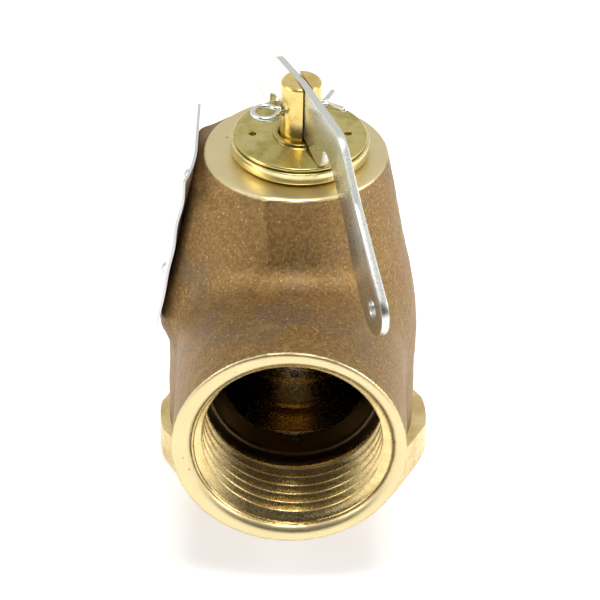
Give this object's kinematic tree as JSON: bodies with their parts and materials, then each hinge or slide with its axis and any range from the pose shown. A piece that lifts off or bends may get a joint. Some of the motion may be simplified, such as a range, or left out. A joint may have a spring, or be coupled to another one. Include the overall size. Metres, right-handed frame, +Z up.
{
  "type": "pressure relief valve",
  "caption": "Angle-pattern bronze relief valve: hexagon threaded inlet below, threaded side outlet, spring-loaded disc, locked compression screw and a flat lifting lever.",
  "frame": {"origin": "centre of the inlet thread's mouth, in the base face", "axes": "+Z up along the valve axis; the outlet points along -Y"},
  "size_m": [0.0371, 0.0492, 0.0603],
  "materials": {
    "bronze_casting": "sand-cast bronze skin, machined faces satin",
    "turned_brass": "turned brass, satin",
    "polished_brass": "polished yellow brass with fine turning marks",
    "zinc_steel": "bright zinc-plated sheet steel",
    "pin_steel": "bright zinc-plated wire",
    "plate_aluminium": "satin aluminium sheet",
    "screw_steel": "nickel-plated steel",
    "spring_steel": "stainless spring wire",
    "silicone": "orange-red silicone",
    "gasket_fibre": "grey-green fibre"
  },
  "bodies": {
    "valve_body": {"body_casting": "bronze_casting", "inlet_nozzle": "turned_brass", "base_gasket": "gasket_fibre", "guide_sleeve": "turned_brass", "upper_spring_washer": "turned_brass", "compression_screw": "polished_brass", "lock_ring": "polished_brass", "nameplate": "plate_aluminium", "drive_screws": "screw_steel"},
    "spindle": {"stem": "polished_brass", "disc_holder": "turned_brass", "disc_retainer": "turned_brass", "seat_disc": "silicone", "spindle_pin": "pin_steel", "stem_clip": "pin_steel", "lower_spring_washer": "turned_brass", "spring": "spring_steel", "cotter_pin": "pin_steel"},
    "lifting_lever": {"lever": "zinc_steel"}
  },
  "joints": [
    {"name": "spindle_lift", "type": "slide", "parent": "valve_body", "child": "spindle", "axis": [0, 0, 1], "range_m": [0, 0.00236], "deforming": ["spring"]},
    {"name": "lever_pivot", "type": "hinge", "parent": "spindle", "child": "lifting_lever", "pos_m": [0, 0, 0.0556], "axis": [-0.9397, -0.342, 0], "range_deg": [0, 12]}
  ],
  "couplings": [
    {"joint": "lever_pivot", "follows": "spindle_lift", "rad_per_m": 88.496}
  ]
}
